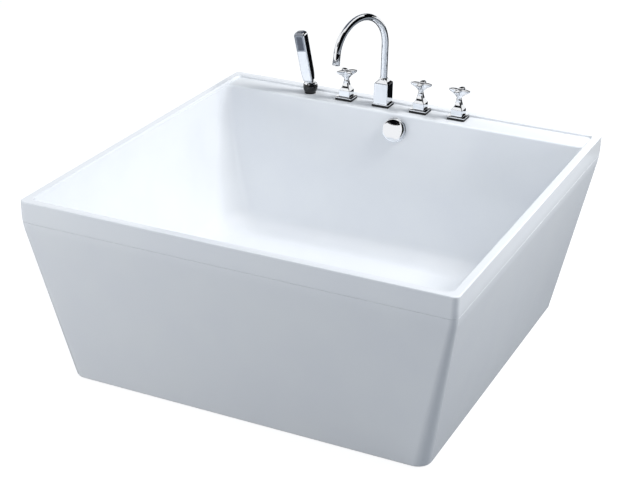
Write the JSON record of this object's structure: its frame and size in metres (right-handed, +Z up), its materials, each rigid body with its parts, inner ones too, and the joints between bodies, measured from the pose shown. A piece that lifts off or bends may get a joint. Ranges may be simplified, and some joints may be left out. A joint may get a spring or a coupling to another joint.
{
  "type": "square bathtub",
  "caption": "Square freestanding bathtub with a tapered skirt, a recessed tap deck with star-handled taps, a swivel spout, a lift-off hand shower and a pop-up waste worked by its overflow knob.",
  "frame": {"origin": "on the floor under the middle of the object's box", "axes": "+X along the front to the right, +Y from the front to the taps, +Z up"},
  "size_m": [1.35, 1.35, 0.9355],
  "materials": {
    "sanitary_acrylic": "white sanitary acrylic, high gloss",
    "skirt_acrylic": "white sanitary acrylic, high gloss",
    "chipboard": "raw chipboard",
    "plywood": "raw birch plywood",
    "galvanised_steel": "galvanised",
    "zinc_plated_steel": "zinc plated",
    "stainless_steel": "turned",
    "chrome_plate": "polished chrome plate on brass",
    "brass": "turned brass",
    "copper": "drawn copper tube",
    "rubber": "moulded black rubber",
    "polypropylene": "moulded white polypropylene",
    "black_nylon": "moulded black nylon",
    "black_abs": "lacquered black ABS",
    "grey_silicone": "moulded grey spray plate"
  },
  "bodies": {
    "tub": {"inner_shell": "sanitary_acrylic", "outer_skirt": "skirt_acrylic", "floor_board": "chipboard", "deck_board": "plywood", "left_rail": "galvanised_steel", "right_rail": "galvanised_steel", "front_cross_rail": "galvanised_steel", "middle_cross_rail": "galvanised_steel", "back_cross_rail": "galvanised_steel", "rail_bolts": "zinc_plated_steel", "skirt_brackets": "galvanised_steel", "bracket_screws": "zinc_plated_steel", "foot_lock_nuts": "zinc_plated_steel", "waste_flange": "chrome_plate", "waste_seals": "rubber", "waste_body": "polypropylene", "trap_nut": "polypropylene", "trap_body": "polypropylene", "overflow_ring": "chrome_plate", "overflow_seal": "rubber", "overflow_body": "polypropylene", "overflow_pipe": "polypropylene", "popup_cable": "black_nylon", "deck_nuts": "brass", "plate_gaskets": "rubber", "cover_plates": "chrome_plate", "handset_holder": "chrome_plate", "holder_collar": "black_abs", "diverter_pedestal": "chrome_plate", "diverter_valve": "brass", "spout_base": "chrome_plate", "spout_shank": "brass", "hot_pedestal": "chrome_plate", "hot_valve": "brass", "cold_pedestal": "chrome_plate", "cold_valve": "brass", "mixed_pipe": "copper", "spout_pipe": "copper", "cold_pipe": "copper"},
    "handset": {"handset_body": "chrome_plate", "spray_face": "grey_silicone", "handset_tail": "brass"},
    "spout": {"spout_tube": "chrome_plate", "aerator": "chrome_plate"},
    "diverter_control": {"diverter_handle": "chrome_plate", "diverter_spindle": "brass"},
    "hot_control": {"hot_handle": "chrome_plate", "hot_spindle": "brass"},
    "cold_control": {"cold_handle": "chrome_plate", "cold_spindle": "brass"},
    "overflow_control": {"overflow_knob": "chrome_plate", "overflow_spindle": "brass"},
    "plug": {"waste_plug": "chrome_plate", "plug_seal": "rubber", "plug_stem": "stainless_steel"},
    "front_left_leg": {"front_left_foot": "black_nylon"},
    "front_right_leg": {"front_right_foot": "black_nylon"},
    "back_left_leg": {"back_left_foot": "black_nylon"},
    "back_right_leg": {"back_right_foot": "black_nylon"},
    "middle_leg": {"middle_foot": "black_nylon"}
  },
  "joints": [
    {"name": "handset_lift", "type": "slide", "parent": "tub", "child": "handset", "axis": [-0.1713, -0.0872, 0.9814], "range_m": [0, 0.25]},
    {"name": "spout_swivel", "type": "hinge", "parent": "tub", "child": "spout", "pos_m": [-0.079, 0.611, 0.7], "axis": [0, 0, 1], "range_deg": [-40, 80]},
    {"name": "diverter_turn", "type": "hinge", "parent": "tub", "child": "diverter_control", "pos_m": [-0.216, 0.611, 0.66], "axis": [0, 0, 1], "range_deg": [0, 90]},
    {"name": "hot_turn", "type": "hinge", "parent": "tub", "child": "hot_control", "pos_m": [0.058, 0.611, 0.66], "axis": [0, 0, 1], "range_deg": [0, 90]},
    {"name": "cold_turn", "type": "hinge", "parent": "tub", "child": "cold_control", "pos_m": [0.195, 0.611, 0.66], "axis": [0, 0, 1], "range_deg": [-90, 0]},
    {"name": "overflow_turn", "type": "hinge", "parent": "tub", "child": "overflow_control", "pos_m": [0, 0.53341, 0.541], "axis": [0, -0.9542, 0.299], "range_deg": [0, 90]},
    {"name": "plug_lift", "type": "slide", "parent": "tub", "child": "plug", "axis": [0, 0, 1], "range_m": [0, 0.0091]},
    {"name": "front_left_foot_screw", "type": "slide", "parent": "tub", "child": "front_left_leg", "axis": [0, 0, -1], "range_m": [0, 0.015]},
    {"name": "front_right_foot_screw", "type": "slide", "parent": "tub", "child": "front_right_leg", "axis": [0, 0, -1], "range_m": [0, 0.015]},
    {"name": "back_left_foot_screw", "type": "slide", "parent": "tub", "child": "back_left_leg", "axis": [0, 0, -1], "range_m": [0, 0.015]},
    {"name": "back_right_foot_screw", "type": "slide", "parent": "tub", "child": "back_right_leg", "axis": [0, 0, -1], "range_m": [0, 0.015]},
    {"name": "middle_foot_screw", "type": "slide", "parent": "tub", "child": "middle_leg", "axis": [0, 0, -1], "range_m": [0, 0.015]}
  ],
  "couplings": [
    {"joint": "plug_lift", "follows": "overflow_turn", "m_per_rad": 0.0057296}
  ]
}
